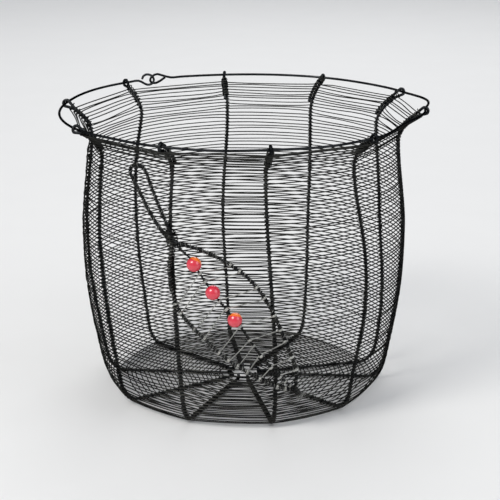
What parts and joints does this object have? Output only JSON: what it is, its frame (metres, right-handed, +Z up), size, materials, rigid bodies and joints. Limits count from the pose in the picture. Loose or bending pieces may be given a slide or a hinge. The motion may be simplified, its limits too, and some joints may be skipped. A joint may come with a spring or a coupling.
{
  "type": "onion basket",
  "caption": "Round flared wire basket with stout upright wires, close-woven thin wire walls and base, a hooked rim wire, and a bent wire leaf with red beads on its front.",
  "frame": {"origin": "middle of the base, on the surface that the basket stands on", "axes": "+Z up through the mouth, -Y towards the front with the wire leaf, +X to the right seen from the front"},
  "size_m": [0.2837, 0.2819, 0.2224],
  "materials": {
    "black_wire": "black annealed iron wire, satin",
    "thin_black_wire": "thin black annealed iron wire, satin",
    "bright_wire": "dull silver-grey wire",
    "red_bead": "pearl gloss"
  },
  "bodies": {
    "basket": {"rim_hoop": "black_wire", "rib_01": "black_wire", "rib_02": "black_wire", "rib_03": "black_wire", "rib_04": "black_wire", "rib_05": "black_wire", "rib_06": "black_wire", "rib_07": "black_wire", "rib_08": "black_wire", "rib_09": "black_wire", "rib_10": "black_wire", "base_ring": "black_wire", "leaf_outline": "black_wire", "leaf_midrib": "black_wire", "wall_weave_1": "thin_black_wire", "wall_weave_2": "thin_black_wire", "wall_weave_3": "thin_black_wire", "wall_weave_4": "thin_black_wire", "wall_weave_5": "thin_black_wire", "wall_weave_6": "thin_black_wire", "wall_weave_7": "thin_black_wire", "wall_weave_8": "thin_black_wire", "base_weave": "thin_black_wire", "leaf_tie_neck": "thin_black_wire", "leaf_tie_right": "thin_black_wire", "leaf_tie_left": "thin_black_wire", "leaf_tip_binding": "thin_black_wire", "leaf_veins_right": "bright_wire", "leaf_veins_left": "bright_wire"},
    "bead_1": {"bead_1": "red_bead"},
    "bead_2": {"bead_2": "red_bead"},
    "bead_3": {"bead_3": "red_bead"}
  },
  "joints": [
    {"name": "bead_1_spin", "type": "hinge", "parent": "basket", "child": "bead_1", "pos_m": [-0.03479, -0.12584, 0.13332], "axis": [0.5403, -0.1202, -0.8329], "continuous": true},
    {"name": "bead_2_spin", "type": "hinge", "parent": "basket", "child": "bead_2", "pos_m": [-0.02187, -0.12872, 0.11339], "axis": [0.5757, -0.0775, -0.814], "continuous": true},
    {"name": "bead_3_spin", "type": "hinge", "parent": "basket", "child": "bead_3", "pos_m": [-0.00656, -0.12964, 0.0934], "axis": [0.6075, -0.0368, -0.7935], "continuous": true}
  ]
}
